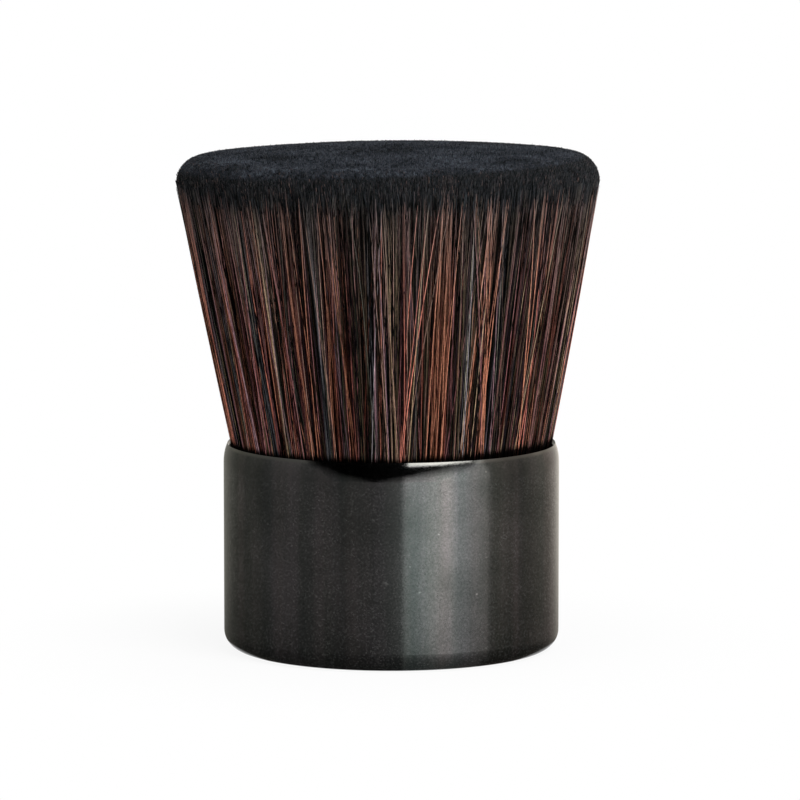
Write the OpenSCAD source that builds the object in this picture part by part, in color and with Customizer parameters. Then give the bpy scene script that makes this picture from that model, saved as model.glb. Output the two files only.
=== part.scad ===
// Kabuki makeup brush with a short drawn ferrule and a flat-topped flared tuft.
// Millimetres. +Z runs up the brush, and the origin is the centre of the face it stands on.

/* [Ferrule] */
// Outer diameter of the drawn cup
ferrule_d = 40; // [36:1:48]
// Height of the cup, from the standing face to the top of the lip
ferrule_h = 24.6; // [23:0.1:32]
// Wall of the drawn cup
ferrule_wall = 0.5; // [0.4:0.05:0.8]
// Outside radius of the corner round the base
base_radius = 2.2; // [1.5:0.1:3]
// Outside radius of the long curve by which the lip leans in over the tuft
lip_radius = 5.5; // [4:0.5:8]
// Angle that the lip leans in by at its end
lip_angle = 23.5; // [18:0.5:28]
// Diameter of the panel that is dished into the base
panel_d = 27; // [18:1:28]
// Depth of the dished panel
panel_depth = 0.4; // [0.2:0.05:0.6]

/* [Weight] */
// Thickness of the adhesive pad under the weight
pad_h = 0.5; // [0.3:0.1:0.8]
// Thickness of the steel weight
weight_h = 4; // [2:0.25:5]
// Chamfer on both edges of the weight
weight_chamfer = 0.5; // [0.2:0.1:0.8]
// Gap between the weight and the bore of the ferrule
weight_gap = 0.8; // [0.5:0.1:1.5]

/* [Inner cup] */
// Wall of the moulded inner cup
cup_wall = 0.9; // [0.7:0.1:1.2]
// Floor of the inner cup
cup_floor = 1.2; // [0.8:0.1:1.6]
// Height of the inner cup
cup_h = 11.6; // [11:0.2:13]
// Gap between the inner cup and the bore of the ferrule
cup_gap = 0.2; // [0.15:0.05:0.4]
// Number of centring ribs on the inner cup
rib_count = 12; // [6:1:24]
// Radius of a centring rib
rib_radius = 0.5; // [0.4:0.05:0.8]
// Depth of the glue groove round the outside of the inner cup
groove_depth = 0.4; // [0.2:0.05:0.5]
// Width of the glue groove
groove_w = 2; // [1:0.25:2.5]
// Depth of the ring inside the inner cup that keys the resin
key_depth = 0.35; // [0.2:0.05:0.45]
// Height of that key ring
key_h = 0.9; // [0.6:0.1:1.2]
// Chamfer inside the mouth of the inner cup
mouth_chamfer = 0.55; // [0.3:0.05:0.6]

/* [Root] */
// Thickness of the resin under the fibres
plug_h = 2; // [1.6:0.1:2.6]
// Thickness of each resin slice that holds fibres
slice_h = 1.2; // [0.8:0.1:1.4]
// Thickness of the band that binds the roots
band_t = 0.45; // [0.3:0.05:0.6]
// Height of the binding band
band_h = 2.5; // [1.5:0.25:3]

/* [Tuft] */
// Largest diameter of the tuft, at its shoulder
tuft_d = 50.2; // [46:0.2:60]
// Height of the tuft above the lip, at its centre
tuft_h = 35.4; // [28:0.2:45]
// Rise of the flat top from its edge to its centre
crown = 1.1; // [0.4:0.1:3]
// Radius of the rounded edge of the top
edge_radius = 3.1; // [1.5:0.1:5]
// Number of rings of fibre locks round the centre lock
ring_count = 10; // [10:1:11]
// Width of a lock as a share of its pitch
lock_fill = 0.88; // [0.6:0.02:0.9]
// How far down from the tops of the colour waves the locks are copper
copper_depth = 0.38; // [0.2:0.02:0.5]
// Number of coarse colour waves round the tuft
coarse_waves = 7; // [3:1:12]
// Number of fine colour waves round the tuft
fine_waves = 17; // [13:1:29]

/* [Fits] */
// Clearance of a piece that slides into another
slide_gap = 0.05; // [0.02:0.01:0.1]
// Clearance between the fibres and what holds them
fibre_gap = 0.08; // [0.05:0.01:0.15]

/* [Hidden] */

$fn = 96;

// Ferrule
ferrule_r = ferrule_d / 2;
bore_r = ferrule_r - ferrule_wall;
panel_r = panel_d / 2;
lip_centre = [ferrule_r - lip_radius, ferrule_h - lip_radius * sin(lip_angle)];
lip_inner = lip_radius - ferrule_wall;
mouth_r = lip_centre[0] + lip_inner * cos(lip_angle);
mouth_z = lip_centre[1] + lip_inner * sin(lip_angle);

// Stack inside the ferrule, from the floor up
pad_z = panel_depth + ferrule_wall;
weight_z = pad_z + pad_h;
weight_r = bore_r - weight_gap;
cup_z = weight_z + weight_h;
cup_r = bore_r - cup_gap;
cup_in = cup_r - cup_wall;
cup_top = cup_z + cup_h;
groove_z = cup_top - 2 * groove_w;
rib_lift = rib_radius;
rib_h = groove_z - cup_z - 2 * rib_lift;
plug_z = cup_z + cup_floor;
resin_r = cup_in - slide_gap;
key_z = plug_z + (plug_h - key_h) / 2;
copper_z = plug_z + plug_h;
black_z = copper_z + slice_h;
band_z = black_z + slice_h;
band_in = resin_r - band_t;
band_top = band_z + band_h;

// Tuft: the fibres run straight from the root to the mouth, and fan out from there.
root_depth = slice_h / 4;
neck_r = mouth_r - fibre_gap;
tuft_r = tuft_d / 2;
tuft_top = ferrule_h + tuft_h;
edge_r = tuft_r - edge_radius;
edge_z = tuft_top - crown - edge_radius;
// The flare is the line from the mouth that touches the rounded edge.
flare_rise = edge_z - mouth_z;
flare_run = edge_r - neck_r;
flare = (flare_run * flare_rise
    + edge_radius * sqrt(flare_rise * flare_rise + flare_run * flare_run - edge_radius * edge_radius))
    / (flare_rise * flare_rise - edge_radius * edge_radius);

// Locks lie in rings of 6, 12, 18 and so on round one at the centre, in a disc of radius 1.
lock_pitch = 1 / (ring_count + 0.5);
lock_radius = lock_fill * lock_pitch / sqrt(3);
lock_reach = sqrt(1 - 0.75 * lock_radius * lock_radius) - lock_radius / 2;
ring_step = lock_reach / ring_count;
// Each ring is turned on from the one inside it, so that the locks don't line up.
ring_turn = 137.5;

// Radius of the bundle at height z, between the root and the mouth
function stem_r(z) =
    neck_r - (neck_r - band_in + fibre_gap) * (mouth_z - z) / (mouth_z - band_top);

// Radius of the bundle at height z, above the mouth
function fan_r(z) = neck_r + flare * (z - mouth_z);

// Height of the flat top at radius r
function dome_z(r) = tuft_top - crown * pow(r / edge_r, 2);

// Height at which a fibre meets the round edge, if it passes off outside the edge's centre and leans outward
function edge_cut_z(off, lean) =
    edge_z + (sqrt(max(0, pow(off * lean, 2) - (1 + lean * lean) * (off * off - edge_radius * edge_radius)))
        - off * lean) / (1 + lean * lean);

// Height at which that fibre is cut
function tip_z(s) =
    s * fan_r(edge_z + edge_radius) <= edge_r
        ? dome_z(s * fan_r(dome_z(s * fan_r(tuft_top))))
        : edge_cut_z(s * fan_r(edge_z) - edge_r, s * flare);

// Where a point u of the disc of radius 1 lies at the root, the mouth and the tip
function at_stem(u, z) = [u[0] * stem_r(z), u[1] * stem_r(z), z];
function at_tip(u) = let (z = tip_z(min(1, norm(u)))) [u[0] * fan_r(z), u[1] * fan_r(z), z];

// Three corners of a lock of radius a round the point r at angle t, with a flat side outward
function corners(r, t, a) =
    [for (k = [0:2]) [r * cos(t) - a * cos(t + 120 * k), r * sin(t) - a * sin(t + 120 * k)]];

// Copper runs in streaks: the tops of two waves round the tuft, which each ring turns on
function wave(t, count, ring) = 0.5 + 0.5 * sin(count * (t + ring_step * ring_turn * ring));
function is_copper(t, ring) =
    (wave(t, coarse_waves, ring) + wave(t, fine_waves, ring)) / 2 > 1 - copper_depth;

// Every lock as [radius, angle, is copper]
locks = concat([[0, 0, false]],
    [for (ring = [1:ring_count], k = [0:6 * ring - 1])
        let (t = (60 * k / ring + ring_turn * ring) % 360)
        [ring * ring_step, t, is_copper(t, ring)]]);
copper_locks = [for (lock = locks) if (lock[2]) lock];
black_locks = [for (lock = locks) if (!lock[2]) lock];

// Triangles of a prism whose rings of three points follow each other from first
function prism_faces(first, rings) = concat(
    [[first, first + 1, first + 2]],
    [for (j = [0:rings - 2], k = [0:2])
        let (a = first + 3 * j + k, b = first + 3 * j + (k + 1) % 3)
        each [[a, a + 3, b], [b, a + 3, b + 3]]],
    [let (last = first + 3 * (rings - 1)) [last + 2, last + 1, last]]);

// Locks of fibres from height z to their tips, each a tapered prism bent at the mouth
module fibres(group, z) {
    polyhedron(
        points = [for (lock = group) let (c = corners(lock[0], lock[1], lock_radius))
            each concat([for (u = c) at_stem(u, z)], [for (u = c) at_stem(u, mouth_z)],
                [for (u = c) at_tip(u)])],
        faces = [for (i = [0:len(group) - 1]) each prism_faces(9 * i, 3)]);
}

// The holes that locks leave in a resin slice between heights z0 and z1
module fibre_holes(group, z0, z1) {
    grown = lock_radius + 2 * fibre_gap / stem_r(z0);
    polyhedron(
        points = [for (lock = group) let (c = corners(lock[0], lock[1], grown))
            each concat([for (u = c) at_stem(u, z0)], [for (u = c) at_stem(u, z1)])],
        faces = [for (i = [0:len(group) - 1]) each prism_faces(6 * i, 2)]);
}

// A ring of radii r0 and r1 and height h, standing at z
module tube(r0, r1, z, h) {
    translate([0, 0, z])
        rotate_extrude()
            translate([r0, 0]) square([r1 - r0, h]);
}

// Part of a round wall in the profile, between radii r0 and r1 from angle a0 to a1
module arc_wall(centre, r0, r1, a0, a1) {
    reach = 2 * r1;
    mid = (a0 + a1) / 2;
    translate(centre)
        intersection() {
            difference() {
                circle(r1);
                circle(r0);
            }
            polygon([[0, 0], reach * [cos(a0), sin(a0)], reach * [cos(mid), sin(mid)],
                reach * [cos(a1), sin(a1)]]);
        }
}

// Floor of the ferrule in the profile, with its dished panel
module floor_profile() {
    slope = ferrule_wall * tan(22.5);
    foot = panel_r + panel_depth;
    corner = ferrule_r - base_radius;
    polygon([[0, panel_depth], [panel_r, panel_depth], [foot, 0], [corner, 0], [corner, ferrule_wall],
        [foot + slope, ferrule_wall], [panel_r + slope, panel_depth + ferrule_wall],
        [0, panel_depth + ferrule_wall]]);
}

// Drawn aluminium cup: dished base, round corner, straight wall and a lip curved in over the tuft
module ferrule() {
    color([0.07, 0.07, 0.075])
        rotate_extrude() {
            floor_profile();
            arc_wall([ferrule_r - base_radius, base_radius], base_radius - ferrule_wall, base_radius, -90, 0);
            translate([bore_r, base_radius]) square([ferrule_wall, lip_centre[1] - base_radius]);
            arc_wall(lip_centre, lip_inner, lip_radius, 0, lip_angle);
        }
}

// Double-sided pad that bonds the weight to the dished panel
module adhesive_pad() {
    color([0.85, 0.84, 0.78])
        translate([0, 0, pad_z]) cylinder(h = pad_h, r = panel_r);
}

// Steel disc that keeps the brush upright
module base_weight() {
    color([0.55, 0.56, 0.58])
        translate([0, 0, weight_z])
            rotate_extrude()
                polygon([[0, 0], [weight_r - weight_chamfer, 0], [weight_r, weight_chamfer],
                    [weight_r, weight_h - weight_chamfer], [weight_r - weight_chamfer, weight_h],
                    [0, weight_h]]);
}

// Hollow of the inner cup in the profile, with the ring that keys the resin and the chamfered mouth
module inner_cup_hollow() {
    key_r = cup_in + key_depth;
    key_top = key_z + key_h;
    polygon([[0, plug_z], [cup_in, plug_z], [cup_in, key_z], [key_r, key_z], [key_r, key_top],
        [cup_in, key_top], [cup_in, cup_top - mouth_chamfer], [cup_in + mouth_chamfer, cup_top],
        [cup_in + mouth_chamfer, cup_top + mouth_chamfer], [0, cup_top + mouth_chamfer]]);
}

// Moulded cup that holds the root of the tuft, centred in the ferrule by ribs
module inner_cup() {
    groove_in = cup_r - groove_depth;
    groove_top = groove_z + groove_w;
    color([0.16, 0.16, 0.17])
        difference() {
            union() {
                rotate_extrude()
                    polygon([[0, cup_z], [cup_r, cup_z], [cup_r, groove_z], [groove_in, groove_z],
                        [groove_in, groove_top], [cup_r, groove_top], [cup_r, cup_top], [0, cup_top]]);
                for (k = [0:rib_count - 1])
                    rotate([0, 0, 360 * (k + 0.5) / rib_count])
                        translate([bore_r - slide_gap - rib_radius, 0, cup_z + rib_lift])
                            cylinder(h = rib_h, r = rib_radius, $fn = 32);
            }
            rotate_extrude() inner_cup_hollow();
        }
}

// Glue in the groove, which holds the inner cup in the ferrule
module glue_bead() {
    color([0.9, 0.88, 0.8])
        tube(cup_r - groove_depth, bore_r, groove_z, groove_w);
}

// Cast resin under the fibres, keyed into the inner cup
module root_plug() {
    color([0.8, 0.68, 0.42])
        union() {
            translate([0, 0, plug_z]) cylinder(h = plug_h, r = resin_r);
            translate([0, 0, key_z + slide_gap])
                cylinder(h = key_h - 2 * slide_gap, r = cup_in + key_depth - slide_gap);
        }
}

// Band that binds the fibres above the resin
module binding_band() {
    color([0.78, 0.75, 0.68])
        tube(band_in, resin_r, band_z, band_h);
}

// Copper fibres, fused to the lower resin slice
module bristles_copper() {
    color([0.5, 0.22, 0.13])
        union() {
            translate([0, 0, copper_z]) cylinder(h = slice_h, r = resin_r);
            fibres(copper_locks, copper_z + root_depth);
        }
}

// Black fibres, fused to the upper resin slice, which the copper ones pass through
module bristles_black() {
    color([0.06, 0.06, 0.08])
        union() {
            difference() {
                translate([0, 0, black_z]) cylinder(h = slice_h, r = resin_r);
                fibre_holes(copper_locks, black_z - root_depth, black_z + slice_h + root_depth);
            }
            fibres(black_locks, black_z + root_depth);
        }
}

ferrule();
adhesive_pad();
base_weight();
inner_cup();
glue_bead();
root_plug();
binding_band();
bristles_copper();
bristles_black();
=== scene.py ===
"""Kabuki makeup brush: a black metal ferrule and a dense, flat-topped tuft of black and copper fibres."""

import itertools
import math

import bpy
import numpy as np
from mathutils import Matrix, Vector

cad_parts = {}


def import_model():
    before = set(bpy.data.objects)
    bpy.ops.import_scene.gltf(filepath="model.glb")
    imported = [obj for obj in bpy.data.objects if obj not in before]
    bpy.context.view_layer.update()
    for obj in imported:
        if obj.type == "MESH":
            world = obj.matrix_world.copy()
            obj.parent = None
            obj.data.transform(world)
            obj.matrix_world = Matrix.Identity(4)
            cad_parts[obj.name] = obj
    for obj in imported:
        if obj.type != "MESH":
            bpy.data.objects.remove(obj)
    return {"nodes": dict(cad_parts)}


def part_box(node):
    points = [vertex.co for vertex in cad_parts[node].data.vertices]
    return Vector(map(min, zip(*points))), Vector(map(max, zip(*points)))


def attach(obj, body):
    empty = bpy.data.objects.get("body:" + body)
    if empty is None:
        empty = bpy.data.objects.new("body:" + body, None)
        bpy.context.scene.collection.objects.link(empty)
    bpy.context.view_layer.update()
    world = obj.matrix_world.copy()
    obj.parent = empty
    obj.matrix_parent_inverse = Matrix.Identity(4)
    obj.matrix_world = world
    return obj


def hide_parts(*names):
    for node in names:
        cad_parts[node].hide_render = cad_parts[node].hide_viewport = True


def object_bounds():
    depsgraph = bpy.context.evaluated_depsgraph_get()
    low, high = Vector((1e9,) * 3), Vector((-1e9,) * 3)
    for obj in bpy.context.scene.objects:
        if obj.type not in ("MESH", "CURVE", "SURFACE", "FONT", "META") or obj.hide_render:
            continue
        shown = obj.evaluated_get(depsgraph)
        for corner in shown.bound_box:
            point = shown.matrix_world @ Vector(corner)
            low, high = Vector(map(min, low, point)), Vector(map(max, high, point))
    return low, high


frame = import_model()
cad_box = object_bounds()

MM = 0.001

# The photograph's camera, as fitted to the outline of the brush
CAMERA_RISE = math.radians(6.833)
CAMERA_DISTANCE = 0.6467
CAMERA_TARGET = Vector((0, 0, 0.030))
SENSOR_MM = 36
FOCAL_PX, PICTURE_PX = 5429.7, 800
ASIDE_PX, BELOW_PX = 8.65, 3.1

# Sizes in millimetres, from the frame where it holds them
FERRULE_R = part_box("ferrule")[1][0] / MM
FERRULE_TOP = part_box("ferrule")[1][2] / MM
TUFT_TOP = cad_box[1][2] / MM
TUFT_R = cad_box[1][0] / MM
RESIN_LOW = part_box("bristles_copper")[0][2] / MM
RESIN_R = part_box("binding_band")[1][0] / MM
BAND_LOW, BAND_TOP = (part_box("binding_band")[i][2] / MM for i in (0, 1))

# Where the bundle passes the lip, and how far down behind it the fibres that show are made
NECK_R = FERRULE_R - 0.995
MOUTH_Z = FERRULE_TOP - 0.2
ROOT_Z = MOUTH_Z - 2.5

# The top of the tuft is a low crown with a rounded edge
CROWN = 1.1
EDGE_RADIUS = 3.1
EDGE_R = TUFT_R - EDGE_RADIUS
EDGE_Z = TUFT_TOP - CROWN - EDGE_RADIUS

# The tuft in the photograph leans a little to the left, and its top is a little lower there
LEAN = -math.tan(math.radians(0.75))
TOP_TILT = 0.010

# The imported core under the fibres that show: its share of the bundle's radius, its depth below the crown, how
# high its side goes above the centre of the rounded edge, and how much narrower it is inside the band
CORE_SHARE, CORE_DEPTH, CORE_SIDE, BAND_ROOM = 0.91, 0.8, 1.4, 1.2

# Numbers of fibres, points along each, and the most fibres in a piece
SIDE_COUNT, SIDE_POINTS, SIDE_ROOM = 21000, 9, 3400
TOP_INNER, TOP_OUTER, TOP_POINTS, TOP_ROOM = 40000, 32000, 3, 11500

# The fibre palette: a column for each hue at each level of brightness, from almost black to pale
HUES = {
    "slate": (0.88, 1.01, 1.20),
    "moss": (0.88, 1.05, 0.84),
    "plum": (1.40, 0.83, 1.08),
    "olive": (1.30, 0.98, 0.52),
    "brown": (1.50, 0.88, 0.68),
    "rose": (2.00, 0.70, 0.80),
    "rust": (2.40, 0.63, 0.42),
    "copper": (2.12, 0.73, 0.38),
}
LEVELS = (0.001, 0.009, 0.032, 0.061, 0.098, 0.155, 0.245, 0.42)
LEVEL_COUNT = len(LEVELS)
PALETTE_COLUMNS = len(HUES) * LEVEL_COUNT
BROWN = list(HUES).index("brown")

# The share of each level on the side and on the top
SIDE_LEVELS = np.array([0.33, 0.19, 0.14, 0.13, 0.09, 0.065, 0.038, 0.017])
TOP_LEVELS = np.array([0.30, 0.30, 0.22, 0.12, 0.06, 0.0, 0.0, 0.0])
# The level whose hue is as drawn, the first that can count as copper, and the first whose fibres often stray
MIDDLE_LEVEL, COPPER_LEVEL, BRIGHT_LEVEL = 3, 4, 6

# Colours that the fibres take high on the side and at their tips, and of their cut ends in front and at the
# rear, where painted light makes them paler
HIGH_COLOUR = (0.262, 0.212, 0.192)
TIP_COLOUR = (0.0162, 0.0186, 0.0210)
END_COLOUR = (0.0216, 0.0248, 0.0306)
PAINTED_LIT_REAR_COLOUR = (0.040, 0.037, 0.034)

# Colours of the ferrule: its coating from dark to light, and its specks, smudges and worn rim, which is
# brightened as a painted highlight
COATING_COLOURS = ((0.4, (0.038, 0.040, 0.038)), (0.5, (0.056, 0.056, 0.0545)), (0.6, (0.082, 0.078, 0.079)))
SPECK_COLOUR = (0.14, 0.138, 0.134)
SMUDGE_COLOUR = (0.19, 0.185, 0.18)
WORN_RIM_HIGHLIGHT_COLOUR = (0.085, 0.084, 0.078)

# Finishes inside: a name, a dark and a light colour, roughness, scale of the mottle, and how metallic
INNER_FINISHES = {
    "adhesive_pad": ("foam", (0.5, 0.48, 0.4), (0.75, 0.72, 0.64), 0.9, 3000.0, 0.0),
    "base_weight": ("steel", (0.3, 0.3, 0.31), (0.5, 0.5, 0.52), 0.4, 900.0, 1.0),
    "inner_cup": ("cup_plastic", (0.02, 0.02, 0.02), (0.035, 0.035, 0.038), 0.5, 1200.0, 0.0),
    "glue_bead": ("glue", (0.6, 0.54, 0.4), (0.8, 0.75, 0.6), 0.25, 600.0, 0.0),
    "root_plug": ("resin", (0.45, 0.28, 0.08), (0.65, 0.45, 0.18), 0.2, 300.0, 0.0),
    "binding_band": ("band_metal", (0.55, 0.54, 0.5), (0.75, 0.73, 0.7), 0.35, 1500.0, 1.0),
}
# The core is the packed fibres' own dark colour, darkened further as painted shade of the deep gaps
CORE_FINISH = ("packed_fibres_and_painted_shade", (0.005, 0.004, 0.004), (0.022, 0.017, 0.016), 0.8, 2500.0, 0.0)


# Shape of the tuft

def flare():
    """How much the bundle widens with height: its side is the line from the mouth that touches the edge."""
    rise, run = EDGE_Z - MOUTH_Z, EDGE_R - NECK_R
    to_edge = math.sqrt(rise ** 2 + run ** 2 - EDGE_RADIUS ** 2)
    return (run * rise + EDGE_RADIUS * to_edge) / (rise ** 2 - EDGE_RADIUS ** 2)


FLARE = flare()


def fan_radius(z):
    """Radius of the bundle at a height."""
    return NECK_R + FLARE * (z - MOUTH_Z)


def dome_height(r):
    """Height of the crown at a distance from the axis."""
    return TUFT_TOP - CROWN * (r / EDGE_R) ** 2


def tip_height(share):
    """Height at which a fibre is cut, for fibres that start at a share of the radius."""
    flat = dome_height(share * fan_radius(dome_height(share * fan_radius(TUFT_TOP))))
    offset = share * fan_radius(EDGE_Z) - EDGE_R
    slope = share * FLARE
    under = np.maximum(0, (offset * slope) ** 2 - (1 + slope ** 2) * (offset ** 2 - EDGE_RADIUS ** 2))
    rounded = EDGE_Z + (np.sqrt(under) - offset * slope) / (1 + slope ** 2)
    return np.where(share * fan_radius(EDGE_Z + EDGE_RADIUS) <= EDGE_R, flat, rounded)


def leaned(points):
    """Points of the tuft with the lean of the photograph, which grows from nothing at the mouth."""
    out = points.copy()
    up = np.maximum(0, points[..., 2] - MOUTH_Z)
    out[..., 0] += LEAN * up
    out[..., 2] += TOP_TILT * points[..., 0] * np.minimum(1, up / (TUFT_TOP - MOUTH_Z)) ** 2
    return out


# Meshes

def new_object(name, data):
    piece = bpy.data.objects.new(name, data)
    bpy.context.collection.objects.link(piece)
    return piece


def new_piece(name, verts, faces):
    """A smooth mesh in metres from points in millimetres and index arrays, one for each size of face."""
    mesh = bpy.data.meshes.new(name)
    sizes = np.concatenate([np.full(len(f), f.shape[1]) for f in faces])
    loops = np.concatenate([f.ravel() for f in faces])
    starts = np.concatenate([[0], np.cumsum(sizes)[:-1]])
    mesh.vertices.add(len(verts))
    mesh.vertices.foreach_set("co", (verts * MM).astype(np.float32).ravel())
    mesh.loops.add(len(loops))
    mesh.loops.foreach_set("vertex_index", loops.astype(np.int32))
    mesh.polygons.add(len(sizes))
    mesh.polygons.foreach_set("loop_start", starts.astype(np.int32))
    mesh.polygons.foreach_set("use_smooth", np.full(len(sizes), True))
    mesh.update(calc_edges=True)
    mesh.validate()
    piece = new_object(name, mesh)
    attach(piece, "root")
    return piece


def lathe(profile, segments):
    """Points and faces of a solid of revolution. Its (radius, height) profile starts and ends on the axis."""
    profile = np.array(profile, float)
    ring = profile[1:-1]
    turns = np.arange(segments) * 2 * math.pi / segments
    verts = np.stack([np.outer(ring[:, 0], np.cos(turns)), np.outer(ring[:, 0], np.sin(turns)),
                      np.repeat(ring[:, 1:2], segments, axis=1)], axis=-1).reshape(-1, 3)
    low, high = len(verts), len(verts) + 1
    verts = np.vstack([verts, [0, 0, profile[0, 1]], [0, 0, profile[-1, 1]]])
    here = np.arange(segments)
    there = (here + 1) % segments
    rows = np.arange(len(ring) - 1)[:, None] * segments
    quads = np.stack([rows + here, rows + there, rows + segments + there, rows + segments + here],
                     axis=-1).reshape(-1, 4)
    top = (len(ring) - 1) * segments
    caps = np.vstack([np.stack([np.full(segments, low), there, here], axis=-1),
                      np.stack([np.full(segments, high), top + here, top + there], axis=-1)])
    return verts, [quads, caps]


def strands(name, paths, radii, columns, along, seed):
    """Three-sided fibres along paths (fibre, point, xyz), with a palette column each and a place along it."""
    count, points, _ = paths.shape
    turn = np.random.default_rng(seed).uniform(0, 2 * math.pi, count)
    angles = turn[:, None] + np.arange(3) * 2 * math.pi / 3
    across = np.stack([np.cos(angles), np.sin(angles), np.zeros_like(angles)], axis=-1)
    verts = (paths[:, :, None, :] + radii[:, :, None, None] * across[:, None, :, :]).reshape(-1, 3)
    first = (np.arange(count) * points * 3)[:, None, None]
    base = first + (np.arange(points - 1) * 3)[None, :, None]
    side = np.arange(3)[None, None, :]
    after = (side + 1) % 3
    quads = np.stack([base + side, base + after, base + after + 3, base + side + 3], axis=-1).reshape(-1, 4)
    root = first[:, 0] + np.array([[2, 1, 0]])
    tip = first[:, 0] + (points - 1) * 3 + np.array([[0, 1, 2]])
    piece = new_piece(name, verts, [quads, np.vstack([root, tip])])
    uv = strand_places(columns, along)
    for layer_name in ("strand", "OFBake"):
        layer = piece.data.uv_layers.new(name=layer_name)
        layer.data.foreach_set("uv", uv.ravel())
    return piece


def strand_places(columns, along):
    """Where the strands' corners lie in the palette: across by column, up by their place along the fibre."""
    margin = 0.12
    side = (1 - 2 * margin) / 3
    shape = (len(columns), along.shape[1] - 1, 3)
    left = (columns[:, None, None] + margin + (1 - 2 * margin) * np.arange(3) / 3) / PALETTE_COLUMNS
    right = np.broadcast_to(left + side / PALETTE_COLUMNS, shape)
    left = np.broadcast_to(left, shape)
    low = np.broadcast_to(along[:, :-1, None], shape)
    high = np.broadcast_to(along[:, 1:, None], shape)
    sides = np.stack([left, low, right, low, right, high, left, high], axis=-1).reshape(-1, 2)
    cap = (columns[:, None] + np.array([[0.3, 0.5, 0.7]])) / PALETTE_COLUMNS
    nudge = np.array([[0.0, 0.004, 0.0]])
    root = np.stack([cap, along[:, :1] + nudge], axis=-1).reshape(-1, 2)
    tip = np.stack([cap, along[:, -1:] - nudge], axis=-1).reshape(-1, 2)
    return np.vstack([sides, root, tip]).astype(np.float32)


# Materials

# Where nearly all values of a noise texture lie, and what red, green and blue add to the brightness
NOISE_RANGE = (0.3, 0.7)
BRIGHTNESS = (0.3, 0.4, 0.3)


def grey(value):
    return (value, value, value)


class Nodes:
    """The nodes of a material or world. add and noise give the new node, and the others what it puts out."""

    def __init__(self, owner, empty=False):
        owner.use_nodes = True
        self.tree = owner.node_tree
        if empty:
            self.tree.nodes.clear()

    def feed(self, node, inputs):
        """Sets inputs of a node, each to a value or to another node's output."""
        for socket, value in inputs.items():
            if isinstance(value, bpy.types.NodeSocket):
                self.tree.links.new(value, node.inputs[socket])
            else:
                node.inputs[socket].default_value = value

    def add(self, kind, inputs=None, **settings):
        node = self.tree.nodes.new("ShaderNode" + kind)
        for key, value in settings.items():
            setattr(node, key, value)
        self.feed(node, inputs or {})
        return node

    def place(self):
        """The place of a point in the object's own frame, in metres."""
        return self.add("TexCoord").outputs["Object"]

    def split(self, vector):
        node = self.add("SeparateXYZ", {0: vector})
        return [node.outputs[axis] for axis in "XYZ"]

    def math(self, operation, first, second=0.0):
        return self.add("Math", {0: first, 1: second}, operation=operation).outputs[0]

    def vector(self, operation, *values):
        return self.add("VectorMath", dict(enumerate(values)), operation=operation).outputs[0]

    def length(self, vector):
        return self.add("VectorMath", {0: vector}, operation="LENGTH").outputs["Value"]

    def scaled(self, colour, by):
        return self.add("VectorMath", {0: colour, "Scale": by}, operation="SCALE").outputs[0]

    def mixed(self, share, first, second):
        """A mix of two colours, each an output or a plain colour."""
        ends = [c if isinstance(c, bpy.types.NodeSocket) else (*c, 1) for c in (first, second)]
        node = self.add("Mix", {"Factor": share, "A": ends[0], "B": ends[1]}, data_type="RGBA")
        return node.outputs["Result"]

    def span(self, value, of=(0.0, 1.0), to=(0.0, 1.0), **settings):
        """A value that crosses the second range while the given one crosses the first, and stays inside."""
        return self.add("MapRange", {"Value": value, "From Min": of[0], "From Max": of[1],
                                     "To Min": to[0], "To Max": to[1]}, **settings).outputs["Result"]

    def noise(self, place, scale, detail, roughness=0.5):
        inputs = {"Vector": place, "Scale": scale, "Detail": detail, "Roughness": roughness}
        return self.add("TexNoise", inputs)

    def uneven(self, place, scale, detail, to, roughness=0.5):
        """The value of a noise texture, spread over a range."""
        return self.span(self.noise(place, scale, detail, roughness).outputs["Fac"], NOISE_RANGE, to)

    def chance(self, value):
        """A random number from 0 to 1 for each value."""
        return self.add("TexWhiteNoise", {"W": value}, noise_dimensions="1D").outputs["Value"]

    def ramp(self, value, stops, interpolation="LINEAR"):
        """The colour of a value, from (place, colour) stops."""
        node = self.add("ValToRGB", {0: value})
        band = node.color_ramp
        band.interpolation = interpolation
        while len(band.elements) > 1:
            band.elements.remove(band.elements[-1])
        band.elements[0].position = stops[0][0]
        band.elements[0].color = (*stops[0][1], 1)
        for place, colour in stops[1:]:
            band.elements.new(place).color = (*colour, 1)
        return node.outputs["Color"]

    def curve(self, value, stops):
        """A grey of a value, from (place, grey) stops."""
        return self.ramp(value, [(place, grey(tone)) for place, tone in stops])

    def steps(self, index, count, colours):
        """How far along count an index lies, from 0 to 1, and the colour that is there."""
        at = self.math("DIVIDE", self.math("ADD", index, 0.5), float(count))
        stops = [(i / len(colours), colour) for i, colour in enumerate(colours)]
        return at, self.ramp(at, stops, "CONSTANT")

    def seen(self):
        """1 for what the camera sees, plainly, mirrored or through glass, and 0 for light on other things."""
        path = self.add("LightPath").outputs
        plain_or_mirrored = self.math("MAXIMUM", path["Is Camera Ray"], path["Is Glossy Ray"])
        return self.math("MAXIMUM", plain_or_mirrored, path["Is Transmission Ray"])

    def end_in_mix(self, share, first, second, output):
        """Ends the tree in a mix of two shaders."""
        mix = self.add("MixShader", {0: share, 1: first.outputs[0], 2: second.outputs[0]})
        self.add(output, {"Surface": mix.outputs[0]})


def finish(name, base, roughness, **sockets):
    """A new material, its nodes, and its shader with the values that are the same all over."""
    made = bpy.data.materials.new(name)
    nodes = Nodes(made)
    shader = nodes.tree.nodes["Principled BSDF"]
    nodes.feed(shader, {"Base Color": (*base, 1), "Roughness": roughness})
    nodes.feed(shader, {socket.replace("_", " "): value for socket, value in sockets.items()})
    return made, nodes, shader


def set_material(piece, made):
    piece.data.materials.clear()
    piece.data.materials.append(made)


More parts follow.
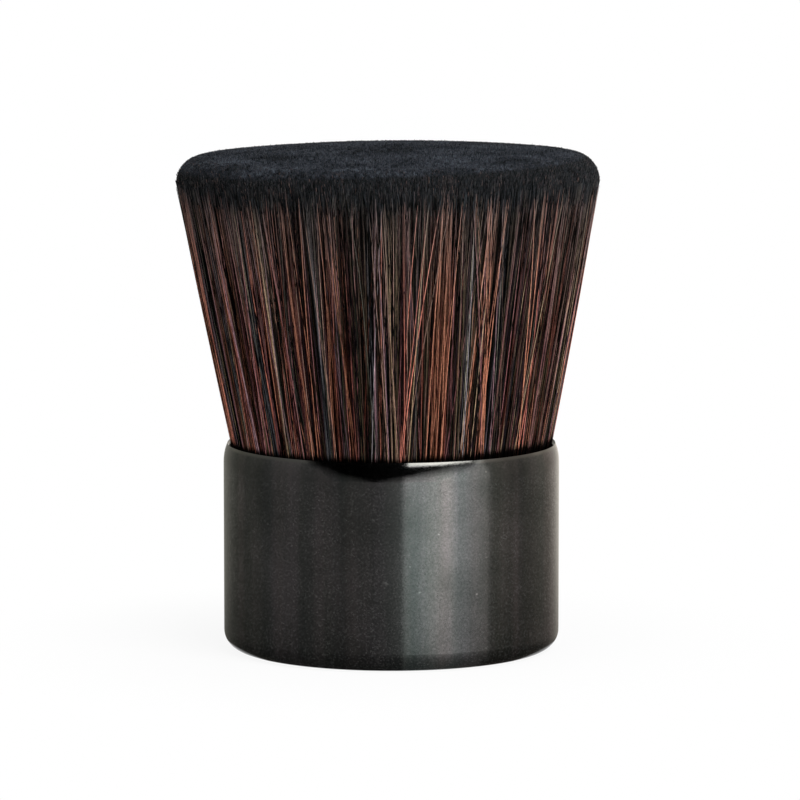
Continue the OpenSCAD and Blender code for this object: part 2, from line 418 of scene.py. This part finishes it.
def fibre_material():
    """Colour of each fibre by its palette column: painted shade at the root, duller with height, dark at the
    tip.
    """
    made, nodes, shader = finish("fibre", grey(0.02), 0.45, IOR=1.09)
    across, along, _ = nodes.split(nodes.add("UVMap", uv_map="strand").outputs[0])
    column = nodes.math("FLOOR", nodes.math("MULTIPLY", across, float(PALETTE_COLUMNS)))
    bright = nodes.span(nodes.chance(column), to=(0.75, 1.30))
    own = nodes.chance(nodes.math("ADD", column, 31.7))
    level, colour = palette_colour(nodes, column)
    colour = nodes.scaled(colour, bright)

    # Slow streaks along the fibre
    stretch = nodes.add("CombineXYZ", {"X": column, "Y": along, "Z": 0.0}).outputs[0]
    colour = nodes.scaled(colour, nodes.uneven(stretch, 55.0, 4.0, to=(0.35, 1.65), roughness=0.8))

    colour = fading_colour(nodes, colour, level, along, own)
    colour = nodes.mixed(nodes.span(along, of=(0.985, 0.995)), colour, cut_colour(nodes, bright))
    colour = nodes.scaled(colour, painted_root_shade(nodes, along, own))
    nodes.feed(shader, {"Base Color": colour})
    return made


def palette_colour(nodes, column):
    """How high the level of a palette column is, and its colour. The palest fibres have less hue."""
    strongest = max(max(colour) for colour in HUES.values())
    hues = {name: tuple(c / strongest for c in colour) for name, colour in HUES.items()}
    _, hue = nodes.steps(column, PALETTE_COLUMNS, list(hues.values()))
    index = nodes.math("MODULO", column, float(LEVEL_COUNT))
    level, light = nodes.steps(index, LEVEL_COUNT, [grey(value) for value in LEVELS])
    hue = nodes.mixed(nodes.math("MULTIPLY", level, 0.38), hue, hues["brown"])
    return level, nodes.vector("MULTIPLY", nodes.vector("MULTIPLY", hue, light), grey(strongest))


def fading_colour(nodes, colour, level, along, own):
    """The colour dulls with height and then fades to the dark tip, each fibre's from a place of its own."""
    at = nodes.math("ADD", along, nodes.span(own, to=(-0.045, 0.028)))
    strength = nodes.add("VectorMath", {0: colour, 1: BRIGHTNESS}, operation="DOT_PRODUCT").outputs["Value"]
    high = nodes.mixed(nodes.span(strength, of=(0.006, 0.17)), grey(0.001), HIGH_COLOUR)
    dull = nodes.curve(at, [(0.40, 0.0), (0.65, 0.22), (0.86, 0.62)])
    fade = nodes.curve(at, [(0.862, 0.0), (0.922, 0.40), (0.962, 1.0)])
    tip = nodes.scaled(TIP_COLOUR, nodes.span(level, to=(0.12, 3.0)))
    return nodes.mixed(fade, nodes.mixed(dull, colour, high), tip)


def cut_colour(nodes, bright):
    """The colour of the cut ends, with specks, painted light and shade in patches, and painted light that makes
    them paler at the rear and towards the edge.
    """
    place = nodes.place()
    _, depth, _ = nodes.split(place)
    from_axis = nodes.length(nodes.vector("MULTIPLY", place, (1.0, 1.0, 0.0)))
    # Painted light: the cut ends are paler at the rear
    colour = nodes.mixed(nodes.span(depth, of=(0.010, 0.024)), END_COLOUR, PAINTED_LIT_REAR_COLOUR)
    # Painted light and shade in soft patches
    painted_light_patches = nodes.uneven(place, 190.0, 4.0, to=(0.4, 1.6))
    specks = nodes.uneven(place, 1900.0, 2.0, to=(0.0, 2.1))
    # Painted highlight: paler towards the edge, darker in the middle
    painted_edge_highlight = nodes.span(from_axis, of=(0.0, 0.022), to=(0.75, 1.15))
    for share in (bright, painted_light_patches, specks, painted_edge_highlight):
        colour = nodes.scaled(colour, share)
    return colour


def painted_root_shade(nodes, along, own):
    """Painted shade: the fibres are darkened just above the lip, and a little higher up on the right."""
    right, _, _ = nodes.split(nodes.place())
    # The painted shade reaches higher up on the right
    further_right = nodes.span(right, of=(0.002, 0.014), to=(0.0, -0.017))
    shift = nodes.math("ADD", nodes.span(own, to=(-0.006, 0.006)), further_right)
    return nodes.span(nodes.math("ADD", along, shift), of=(0.079, 0.097), to=(0.03, 1.0))


def below_rim(depth):
    """The height in metres of a depth below the ferrule's rim in millimetres."""
    return (FERRULE_TOP - depth) * MM


def ferrule_material():
    """Black coated metal: fine grain, highlights spread up and down, dust, specks, smudges, and a worn rim that
    is partly real wear and partly a painted highlight.
    """
    made, nodes, shader = finish("ferrule_black", (0.055, 0.055, 0.053), 0.16, Metallic=1.0, Anisotropic=0.5,
                                 Anisotropic_Rotation=0.25, Specular_Tint=(0.5, 0.5, 0.5, 1))
    place = nodes.place()
    _, _, height = nodes.split(place)
    lip = nodes.span(height, of=(below_rim(2.9), below_rim(1.9)))
    # The worn rim, partly real wear and partly a painted highlight along the lip's edge
    rim = nodes.span(height, of=(below_rim(0.45), below_rim(0.2)))
    grain = nodes.noise(place, 3800.0, 3.0, 0.7).outputs["Fac"]
    rough = nodes.span(grain, NOISE_RANGE, to=(0.11, 0.20))
    rough = nodes.math("MULTIPLY", rough, nodes.span(lip, to=(1.0, 0.6)))

    # Matt dust in the grain, paler than the dark reflections and darker than the bright ones
    dust = nodes.span(nodes.noise(place, 4700.0, 2.0).outputs["Fac"], of=(0.48, 0.72))
    dust = nodes.math("MULTIPLY", dust, nodes.span(lip, to=(0.37, 0.02)))

    colour = smudged(nodes, place, specked(nodes, place, coating_colour(nodes, place, grain)))
    bump = nodes.add("Bump", {"Height": grain, "Strength": 0.2, "Distance": 0.02 * MM})
    tangent = nodes.add("Tangent", direction_type="RADIAL", axis="Z")
    nodes.feed(shader, {
        "Base Color": nodes.mixed(rim, colour, WORN_RIM_HIGHLIGHT_COLOUR),
        "Roughness": rough,
        "Metallic": nodes.math("SUBTRACT", 1.0, dust),
        "Normal": bump.outputs[0],
        "Tangent": tangent.outputs[0],
    })
    return made


def coating_colour(nodes, place, grain):
    """Clouds, long upright streaks and a pepper of finer grain, with faint pink and green strips."""
    cloud = nodes.noise(place, 130.0, 4.0).outputs["Fac"]
    tall = nodes.add("Mapping", {"Vector": place, "Scale": (1.0, 1.0, 0.03)}).outputs[0]
    streak = nodes.noise(tall, 420.0, 4.0)
    tone = nodes.math("ADD", nodes.math("ADD", cloud, streak.outputs["Fac"]), grain)
    colour = nodes.ramp(nodes.math("DIVIDE", tone, 3.0), COATING_COLOURS)
    colour = nodes.scaled(colour, nodes.uneven(place, 6500.0, 2.0, to=(0.80, 1.20)))
    strips = nodes.vector("SUBTRACT", streak.outputs["Color"], grey(0.5))
    strips = nodes.vector("MULTIPLY_ADD", strips, (0.16, 0.11, 0.16), grey(1.0))
    return nodes.vector("MULTIPLY", colour, strips)


def specked(nodes, place, colour):
    """Small pale specks and nicks, some of them drawn out."""
    squeezed = nodes.add("Mapping", {"Vector": place, "Scale": (1.0, 0.6, 1.3)}).outputs[0]
    cells = nodes.add("TexVoronoi", {"Vector": squeezed, "Scale": 900.0, "Randomness": 1.0}).outputs
    chance = nodes.add("SeparateColor", {0: cells["Color"]}).outputs[0]
    spot = nodes.span(cells["Distance"], of=(0.10, 0.17), to=(1.0, 0.0))
    spot = nodes.math("MULTIPLY", spot, nodes.span(chance, of=(0.92, 1.0)))
    return nodes.mixed(spot, colour, SPECK_COLOUR)


def smudged(nodes, place, colour):
    """A few larger smudges with ragged edges."""
    ragged = nodes.noise(place, 2500.0, 2.0).outputs["Color"]
    ragged = nodes.vector("MULTIPLY_ADD", ragged, grey(0.8 * MM), place)
    cells = nodes.add("TexVoronoi", {"Vector": ragged, "Scale": 300.0, "Randomness": 1.0}).outputs
    chance = nodes.add("SeparateColor", {0: cells["Color"]}).outputs[0]
    spot = nodes.span(cells["Distance"], of=(0.05, 0.11), to=(0.6, 0.0))
    spot = nodes.math("MULTIPLY", spot, nodes.math("GREATER_THAN", chance, 0.93))
    return nodes.mixed(spot, colour, SMUDGE_COLOUR)


def inner_material(name, dark, light, roughness, scale, metallic):
    """A mottled finish for a piece that is sealed in the ferrule."""
    made, nodes, shader = finish(name, light, roughness, Metallic=metallic)
    mottle = nodes.noise(nodes.place(), scale, 5.0).outputs["Fac"]
    bump = nodes.add("Bump", {"Height": mottle, "Strength": 0.3, "Distance": 0.05 * MM})
    colour = nodes.ramp(mottle, list(zip(NOISE_RANGE, (dark, light))))
    nodes.feed(shader, {"Base Color": colour, "Normal": bump.outputs[0]})
    return made


def cad_finishes():
    """Finishes for the CAD nodes that stay."""
    set_material(frame["nodes"]["ferrule"], ferrule_material())
    for node, values in INNER_FINISHES.items():
        set_material(frame["nodes"][node], inner_material(*values))


# Fibres

# How deep the side fibres lie, as a share of the radius, and how far their corners are from their middle
SIDE_DEPTH, SIDE_THICK = 0.12, (0.026, 0.048)
# How far a fibre drifts and waves round the tuft, in radians, and bulges outward, as a share of the radius
DRIFT, WAVE, BULGE = 0.025, 0.0045, 0.003
WAVE_TURNS = (1.2, 3.2)
# How often fibres stray, where the strays lie, and how far they drift more
STRAY_CHANCE, BRIGHT_STRAY_CHANCE = 0.03, 0.22
STRAY_SHARE, STRAY_DRIFT = (0.990, 1.004), 0.085
# The top: how far out the even fibres reach, where the extra ones of the edge lie, and how long both are
INNER_REACH, OUTER_REACH = 0.94, (0.84, 0.997)
INNER_LENGTH, OUTER_LENGTH = 2.5, (1.4, 2.6)
TOP_THICK, TOP_TAPER = (0.040, 0.070), (1.0, 0.95, 0.7)
# How unevenly the fibres are cut, and the place along the palette that the side's tips have
SIDE_UNEVEN, TOP_UNEVEN = 0.06, 0.045
SIDE_TIP_PLACE = 0.984


def pick_columns(rng, hue, weights, warmer=0.0):
    """Draws a level for each fibre. Gives its palette column and level, and whether it counts as copper."""
    total = np.cumsum(weights, axis=0)
    drawn = rng.uniform(0, 1, weights.shape[1]) * total[-1]
    level = (drawn[None, :] > total).sum(axis=0)
    hue = np.clip(np.floor(hue + warmer * (level - MIDDLE_LEVEL)), 0, len(HUES) - 1).astype(int)
    copper = (level >= COPPER_LEVEL) & (hue >= BROWN)
    return (hue * LEVEL_COUNT + level).astype(float), level, copper


def ring_noise(angle, rng, size, waves, turns):
    """A smooth random function of the angle round the tuft, about -size to size."""
    counts = rng.integers(*turns, waves)
    phases = rng.uniform(0, 2 * math.pi, waves)
    return size * (sum(np.sin(c * angle + p) for c, p in zip(counts, phases)) / math.sqrt(waves / 2) / 1.6)


def streaked_columns(rng, streaks, angle):
    """Palette columns of the side. Levels and hues run in streaks round the tuft, the hues in wider ones."""
    usual = 0.40
    warm = (usual + ring_noise(angle, streaks, 0.20, waves=6, turns=(5, 17))
            + ring_noise(angle, streaks, 0.40, waves=8, turns=(35, 90))
            + ring_noise(angle, streaks, 0.30, waves=12, turns=(120, 300)))
    warm = np.clip(warm, 0.02, 1.4)
    weights = SIDE_LEVELS[:, None] * np.exp(0.36 * (warm[None, :] - usual) * np.arange(LEVEL_COUNT)[:, None])
    hue = (BROWN + 0.15 + ring_noise(angle, streaks, 3.0, waves=24, turns=(5, 110)) + 1.8 * (warm - usual)
           + rng.normal(0, 0.6, len(angle)))
    return pick_columns(rng, hue, weights, warmer=0.42)


def side_fibres():
    """The long fibres that show on the side of the tuft, from under the lip to their cut tips."""
    rng = np.random.default_rng(41)
    count = SIDE_COUNT
    share = 1 - SIDE_DEPTH * rng.uniform(0, 1, count) ** 1.1
    angle = rng.uniform(-math.pi, math.pi, count)

    # Fibres gather in uneven locks
    streaks = np.random.default_rng(7)
    angle = (angle + ring_noise(angle, streaks, 0.005, waves=9, turns=(50, 110))
             + ring_noise(angle, streaks, 0.0025, waves=9, turns=(170, 330)))
    share = share + ring_noise(angle, streaks, 0.006, waves=9, turns=(60, 160)) - 0.004
    columns, level, copper = streaked_columns(rng, streaks, angle)

    # Most fibres follow the fan, and some of the bright ones lie across it on the outside
    strays = rng.uniform(0, 1, count) < np.where(level >= BRIGHT_LEVEL, BRIGHT_STRAY_CHANCE, STRAY_CHANCE)
    share[strays] = rng.uniform(*STRAY_SHARE, strays.sum())
    tip = tip_height(np.minimum(share, 1)) + rng.normal(0, SIDE_UNEVEN, count)
    t = np.linspace(0, 1, SIDE_POINTS)[None, :]
    z = ROOT_Z + (tip[:, None] - ROOT_Z) * t
    drift = rng.normal(0, DRIFT, count)
    drift[strays] += rng.normal(0, STRAY_DRIFT, strays.sum())

    # Each fibre has a slight wave and bulge of its own
    wave = rng.normal(0, WAVE, count)[:, None] * np.sin(
        math.pi * t * rng.uniform(*WAVE_TURNS, count)[:, None] + rng.uniform(0, 6.28, count)[:, None])
    turn = angle[:, None] + drift[:, None] * (t - 0.35) + wave * t
    spread = share[:, None] + rng.normal(0, BULGE, count)[:, None] * np.sin(math.pi * t)
    paths = fanned(spread * fan_radius(z), turn, z)
    thick = rng.uniform(*SIDE_THICK, count)[:, None] * np.interp(t, [0, 0.8, 1], [1.0, 1.0, 0.6])
    return paths, thick, columns, copper, np.repeat(SIDE_TIP_PLACE * t, count, axis=0)


def top_fibres():
    """The cut ends that cover the top of the tuft, packed closer near its edge."""
    rng = np.random.default_rng(43)
    count = TOP_INNER + TOP_OUTER
    share = np.sqrt(np.concatenate([rng.uniform(0, INNER_REACH ** 2, TOP_INNER),
                                    rng.uniform(OUTER_REACH[0] ** 2, OUTER_REACH[1] ** 2, TOP_OUTER)]))
    length = np.where(np.arange(count) < TOP_INNER, INNER_LENGTH, rng.uniform(*OUTER_LENGTH, count))
    angle = rng.uniform(-math.pi, math.pi, count)
    tip = tip_height(share) + rng.normal(0, TOP_UNEVEN, count)
    t = np.linspace(0, 1, TOP_POINTS)[None, :]
    z = tip[:, None] + (t - 1) * length[:, None]
    turn = angle[:, None] + rng.normal(0, 0.01, count)[:, None] * t
    radius = share[:, None] * fan_radius(z) + rng.normal(0, 0.06, count)[:, None] * t
    hue = 1.5 + rng.normal(0, 1.2, count)
    columns, _, copper = pick_columns(rng, hue, np.outer(TOP_LEVELS, np.ones(count)))
    thick = rng.uniform(*TOP_THICK, count)[:, None] * np.array([TOP_TAPER])

    # The paler ends show on the flat, and fade out over the rounded edge
    fade_from = 0.925 - 0.030 * np.cos(angle)
    last = np.interp(share - fade_from, [0, 0.03], [1.0, 0.982])
    return fanned(radius, turn, z), thick, columns, copper, last[:, None] - 0.07 * (1 - t)


def fanned(radius, turn, z):
    """Paths of fibres from their distance from the axis, angle and height, with the lean of the tuft."""
    return leaned(np.stack([radius * np.cos(turn), radius * np.sin(turn), z], axis=-1))


def tuft_core():
    """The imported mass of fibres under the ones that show, down to the resin that holds them."""
    in_band = RESIN_R - BAND_ROOM
    crown_r = CORE_SHARE * fan_radius(EDGE_Z)
    profile = [(0, RESIN_LOW), (RESIN_R, RESIN_LOW), (RESIN_R, BAND_LOW), (in_band, BAND_LOW)]
    profile += [(in_band, BAND_TOP)]
    profile += [(CORE_SHARE * fan_radius(z), z) for z in np.linspace(MOUTH_Z, EDGE_Z + CORE_SIDE, 8)]
    profile += [(r, dome_height(r) - CORE_DEPTH) for r in np.linspace(crown_r, 1.0, 10)]
    profile += [(0, dome_height(0) - CORE_DEPTH)]
    verts, faces = lathe(profile, 128)
    return new_piece("tuft_core", leaned(verts), faces)


def tuft():
    """Every fibre piece and the core, each standing for the CAD fibres of its colour."""
    made = fibre_material()
    seeds = itertools.count(100)
    for name, build, room in (("side", side_fibres, SIDE_ROOM), ("top", top_fibres, TOP_ROOM)):
        paths, thick, columns, copper, along = build()
        for colour, chosen in (("black", ~copper), ("copper", copper)):
            index = np.flatnonzero(chosen)
            for part, few in enumerate(np.array_split(index, math.ceil(len(index) / room))):
                piece = strands(f"{name}_fibres_{colour}_{part + 1}", paths[few], thick[few], columns[few],
                                along[few], next(seeds))
                set_material(piece, made)
                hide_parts("bristles_" + colour)
    core = tuft_core()
    set_material(core, inner_material(*CORE_FINISH))
    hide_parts("bristles_black", "bristles_copper")


# Studio

WHITE = (1, 1, 1, 1)
FILL_STRENGTH = 0.42
# How far the floor goes, its colour, and where its shadow fades to white, from the axis in metres
FLOOR_REACH = 6.0
FLOOR_COLOUR = (0.86, 0.86, 0.86, 1)
SHADOW_FADE = (0.020, 0.055)


def world():
    """White to the eye and in reflections, and a plain soft fill for everything else."""
    made = bpy.data.worlds.new("studio")
    bpy.context.scene.world = made
    nodes = Nodes(made, empty=True)
    fill = nodes.add("Background", {"Color": WHITE, "Strength": FILL_STRENGTH})
    white = nodes.add("Background", {"Color": WHITE})
    nodes.end_in_mix(nodes.seen(), fill, white, "OutputWorld")


def floor():
    """A pale floor that keeps the brush's shadow and turns into the white background away from it."""
    mesh = bpy.data.meshes.new("floor")
    corners = [(x * FLOOR_REACH, y * FLOOR_REACH, 0) for x, y in ((-1, -1), (1, -1), (1, 1), (-1, 1))]
    mesh.from_pydata(corners, [], [(0, 1, 2, 3)])
    piece = new_object("floor", mesh)
    made = bpy.data.materials.new("floor")
    nodes = Nodes(made, empty=True)
    fade = nodes.span(nodes.length(nodes.place()), SHADOW_FADE, (0.9, 1.0), interpolation_type="SMOOTHSTEP")
    matt = nodes.add("BsdfDiffuse", {"Color": FLOOR_COLOUR})
    glow = nodes.add("Emission")
    nodes.end_in_mix(nodes.math("MULTIPLY", fade, nodes.seen()), matt, glow, "OutputMaterial")
    set_material(piece, made)


def stand(piece, place, back):
    """Puts a lamp or the camera in its place, looking away from the direction back."""
    piece.location = place
    piece.rotation_mode = "QUATERNION"
    piece.rotation_quaternion = (-back).to_track_quat("-Z", "Y")


def softbox(name, azimuth, elevation, distance, width, height, radiance):
    """A rectangular lamp that faces the brush. Azimuth is counted from the camera's side towards +X."""
    lamp = bpy.data.lights.new(name, "AREA")
    lamp.shape = "RECTANGLE"
    lamp.size, lamp.size_y = width, height
    lamp.energy = radiance * math.pi * width * height
    a, e = math.radians(azimuth), math.radians(elevation)
    back = Vector((math.sin(a) * math.cos(e), -math.cos(a) * math.cos(e), math.sin(e)))
    piece = new_object(name, lamp)
    stand(piece, CAMERA_TARGET + back * distance, back)
    return piece


def lights():
    """Soft lamps, and the glowing sheets that only reflections see, which paint the reflected bands of the
    black metal.
    """
    key = softbox("key", azimuth=34, elevation=38, distance=0.48, width=0.33, height=0.15, radiance=14.0)
    fill = softbox("fill", azimuth=-55, elevation=30, distance=0.9, width=0.6, height=0.6, radiance=0.9)
    key.visible_glossy = fill.visible_glossy = False
    softbox("back", azimuth=160, elevation=35, distance=0.9, width=0.7, height=0.5, radiance=0.8)
    painted_surroundings_reflection()
    painted_lip_reflection()


# Painted reflection on the upright wall of the ferrule: a glowing sheet that only reflections see draws a pale
# band to the right of the front, over a dark level.
# The band by the azimuth of the reflection
BAND = ((-180, 0.0), (-163, 0.05), (-158, 0.24), (-150, 0.38), (-144, 0.56), (-140, 0.52), (-136, 0.42),
        (-130, 0.22), (-108, 0.04), (-98, 0.0), (-45, 0.0), (-30, 0.08), (-12, 0.05), (-6, 0.14), (1, 0.34),
        (7, 0.50), (9.5, 3.0), (13, 3.35), (22, 3.6), (31, 4.3), (39, 5.1), (43, 4.6), (49, 3.6), (57, 2.8),
        (67, 2.08), (69, 1.92), (71.5, 0.52), (90, 0.18), (102, 0.21), (117, 0.48), (124, 0.95), (130, 1.05),
        (134, 1.0), (143, 1.6), (152, 1.65), (158, 1.45), (164, 1.0), (180, 0.5))
# How much redder and bluer than grey it is, by azimuth
MORE_RED = ((-130, 0.02), (-60, 0.0), (-44, 0.02), (-34, 0.10), (-24, 0.06), (-10, 0.0), (2, -0.05),
            (12, -0.14), (22, -0.12), (30, -0.06), (36, 0.07), (40, 0.06), (45, -0.03), (50, -0.03),
            (58, 0.03), (80, 0.09), (130, 0.12), (160, 0.08))
MORE_BLUE = ((-130, -0.12), (-95, -0.04), (-60, -0.02), (-10, 0.0), (20, -0.03), (40, 0.0), (60, -0.02),
             (85, -0.09), (160, -0.11))
# The share of the band, and the dark level, by distance from the ferrule in metres
BAND_SHARE = ((-0.009, 0.02), (0.0, 0.08), (0.0035, 0.15), (0.009, 0.33), (0.0315, 0.395), (0.0575, 0.54),
              (0.0875, 0.68), (0.1475, 0.84), (0.1925, 1.0))
DARK_LEVEL = ((-0.009, 0.10), (0.0, 0.12), (0.009, 0.20), (0.0315, 0.28), (0.0575, 0.34), (0.1775, 0.40),
              (1.2, 0.42), (1.45, 0.66))
# More distances at which the sheet has points, and its height over the floor out to where it stands as a wall
MORE_DISTANCES = {0.01, 0.11}
SHEET_HEIGHT = 0.0001
WALL_DISTANCE = 1.2
WALL_HEIGHTS = (0.3, 0.6, 0.9, 1.3)


def between(stops, value):
    """The value on a line through (place, value) stops."""
    places, values = zip(*stops)
    return np.interp(value, places, values)


def painted_surroundings_reflection():
    """A glowing sheet that paints the reflection of a table and far wall in the metal, laid out by the strips
    of the ferrule that see them.
    """
    azimuths = np.arange(-180, 180.5, 1)
    distances = {place for stops in (BAND_SHARE, DARK_LEVEL) for place, _ in stops if place < WALL_DISTANCE}
    flat = sorted(distances | MORE_DISTANCES)
    away = np.array(flat + [WALL_DISTANCE] * (1 + len(WALL_HEIGHTS)))
    heights = np.array([SHEET_HEIGHT] * (len(flat) + 1) + list(WALL_HEIGHTS))
    turn = np.radians(azimuths)[:, None]
    grid = np.stack([FERRULE_R * MM * np.sin(turn / 2) + away * np.sin(turn),
                     -FERRULE_R * MM * np.cos(turn / 2) - away * np.cos(turn),
                     np.broadcast_to(heights, (len(turn), len(away)))], axis=-1)
    reach = np.where(away < 0, away, np.hypot(away, heights))
    tones = between(DARK_LEVEL, reach) + between(BAND, azimuths)[:, None] * between(BAND_SHARE, reach)
    red, blue = (between(stops, azimuths)[:, None] for stops in (MORE_RED, MORE_BLUE))
    # The glowing sheet paints the band and dark level that the wall reflects
    painted_reflection_sheet("painted_surroundings_reflection", grid, np.stack([tones * (1 + red), tones, tones * (1 + blue)], axis=-1))


# Painted reflection on the curved-in lip: a dark sheet, and over its right side a glowing patch that paints a
# highlight. How far below the rim each begins, in millimetres, by the angle round the wall
DARK_REFLECTION_DEPTH = ((-31, -0.5), (-27.6, 0.12), (-24.9, 0.35), (-21.9, 1.15), (-16.3, 1.85), (-11, 2.25),
              (-5.7, 2.65), (-0.5, 2.35), (3, 2.15), (6.5, 2.0), (10, 1.65), (15.4, 1.33), (20.8, 1.07),
              (24.6, 0.72), (27.7, 0.45), (30.5, -0.2), (34.2, -0.6))
PAINTED_HIGHLIGHT_DEPTH = ((4, 0.44), (6.5, 0.42), (10, 0.4), (15.4, 0.37), (20.8, 0.32), (24.6, 0.29), (27.7, 0.27),
                (30.5, 0.1), (34.2, -0.1))
PAINTED_HIGHLIGHT_TONE = ((5, 7.5), (10, 9.0), (15, 10.5), (20, 10.5), (26, 7.0), (34, 4.5))
# The angles where the dark sheet ends and the painted highlight starts, and how close together the strips are
DARK_REFLECTION_ENDS, DARK_REFLECTION_STEP = (-31, 34.5), 0.5
PAINTED_HIGHLIGHT_START, PAINTED_HIGHLIGHT_SIDE = 5.6, 0.05
# How soft the lower edges are, the least of the dark sheet that is left below the painted highlight, and where
# both end
PAINTED_HIGHLIGHT_SOFT, DARK_REFLECTION_SOFT = 0.005, 0.65
PAINTED_HIGHLIGHT_GAP, ABOVE_RIM = 0.02, -0.9
# The lip's curve, and how far from it the painted reflection stands in metres
LIP_RADIUS = 5.5
LIP_RISE = LIP_RADIUS * math.sin(math.radians(23.5))
PAINTED_REFLECTION_DISTANCE = 0.10


def seen_from_lip(turn, depth):
    """The points that the lip mirrors to the camera, by a depth below its rim and an angle round the wall."""
    tilt = np.arcsin(np.clip((LIP_RISE - depth) / LIP_RADIUS, 0, 1))
    normal = np.stack([np.cos(tilt) * np.sin(turn), -np.cos(tilt) * np.cos(turn), np.sin(tilt)], axis=-1)
    radius = (FERRULE_R - LIP_RADIUS * (1 - np.cos(tilt))) * MM
    start = np.stack([radius * np.sin(turn), -radius * np.cos(turn), below_rim(depth)], axis=-1)
    to_camera = np.array(camera_at()) - start
    to_camera /= np.linalg.norm(to_camera, axis=-1, keepdims=True)
    mirrored = 2 * (normal * to_camera).sum(axis=-1, keepdims=True) * normal - to_camera
    return start + PAINTED_REFLECTION_DISTANCE * mirrored


def painted_lip_reflection():
    """The dark sheet and the glowing patch over it, which paint the lip's reflection, laid out by the strips of
    the lip that see them.
    """
    left = np.arange(DARK_REFLECTION_ENDS[0], PAINTED_HIGHLIGHT_START - DARK_REFLECTION_STEP, DARK_REFLECTION_STEP)
    right = np.arange(math.ceil(PAINTED_HIGHLIGHT_START), DARK_REFLECTION_ENDS[1] + DARK_REFLECTION_STEP / 2, DARK_REFLECTION_STEP)
    angles = np.array([*left, PAINTED_HIGHLIGHT_START - PAINTED_HIGHLIGHT_SIDE, PAINTED_HIGHLIGHT_START, *right])
    low, highlight_depth = (between(stops, angles) for stops in (DARK_REFLECTION_DEPTH, PAINTED_HIGHLIGHT_DEPTH))
    highlight_depth = np.minimum(low - PAINTED_HIGHLIGHT_GAP, highlight_depth)
    dark_from = np.maximum(highlight_depth + 2 * PAINTED_HIGHLIGHT_SOFT, low - DARK_REFLECTION_SOFT)
    above = np.full(len(angles), ABOVE_RIM)
    depth = np.stack([low + DARK_REFLECTION_SOFT, dark_from, highlight_depth + PAINTED_HIGHLIGHT_SOFT, highlight_depth, above], axis=1)
    turn = np.broadcast_to(np.radians(angles)[:, None], depth.shape)
    tones = np.zeros(depth.shape)
    tones[:, 0] = between(DARK_LEVEL, WALL_DISTANCE) + between(BAND, 2 * angles)
    lit = angles >= PAINTED_HIGHLIGHT_START
    # The glowing patch that paints the lip's highlight
    tones[lit, 3:] = between(PAINTED_HIGHLIGHT_TONE, angles[lit])[:, None]
    painted_reflection_sheet("painted_lip_reflection", seen_from_lip(turn, depth), np.repeat(tones[..., None], 3, axis=-1))


def painted_reflection_sheet(name, grid, tones):
    """A glowing sheet that only reflections see and that paints a reflection, from rows of points with a colour
    at each.
    """
    rows, row = grid.shape[:2]
    faces = [(i * row + j, i * row + j + 1, (i + 1) * row + j + 1, (i + 1) * row + j)
             for i in range(rows - 1) for j in range(row - 1)]
    mesh = bpy.data.meshes.new(name)
    mesh.from_pydata([tuple(point) for point in grid.reshape(-1, 3)], [], faces)
    colours = np.concatenate([tones, np.ones((rows, row, 1))], axis=-1)
    layer = mesh.color_attributes.new(name="tone", type="FLOAT_COLOR", domain="POINT")
    layer.data.foreach_set("color", colours.astype(np.float32).ravel())
    piece = new_object(name, mesh)
    made = bpy.data.materials.new(name)
    nodes = Nodes(made, empty=True)
    tone = nodes.add("VertexColor", layer_name="tone").outputs["Color"]
    # The sheet glows though it is no lamp, to paint reflections
    glow = nodes.add("Emission", {"Color": tone})
    nodes.add("OutputMaterial", {"Surface": glow.outputs[0]})
    set_material(piece, made)
    for ray in ("camera", "diffuse", "transmission", "volume_scatter", "shadow"):
        setattr(piece, "visible_" + ray, False)


def camera_axes():
    """The way back to the camera from what it looks at, and its upward direction."""
    return (Vector((0, -math.cos(CAMERA_RISE), math.sin(CAMERA_RISE))),
            Vector((0, math.sin(CAMERA_RISE), math.cos(CAMERA_RISE))))


def camera_at():
    """Where the camera stands. It is moved aside and down instead of shifting the lens."""
    pixel = CAMERA_DISTANCE / FOCAL_PX
    back, up = camera_axes()
    aside = Vector((1, 0, 0)) * ASIDE_PX * pixel
    return CAMERA_TARGET + aside - up * BELOW_PX * pixel + back * CAMERA_DISTANCE


def camera():
    """The photograph's view, with its fitted distance, height and lens."""
    data = bpy.data.cameras.new("camera")
    data.sensor_width = SENSOR_MM
    data.lens = FOCAL_PX / PICTURE_PX * SENSOR_MM
    data.clip_start, data.clip_end = 0.01, 20
    piece = new_object("camera", data)
    stand(piece, camera_at(), camera_axes()[0])
    bpy.context.scene.camera = piece


camera()
world()
floor()
lights()
cad_finishes()
tuft()
bpy.context.scene.view_settings.view_transform = "Standard"
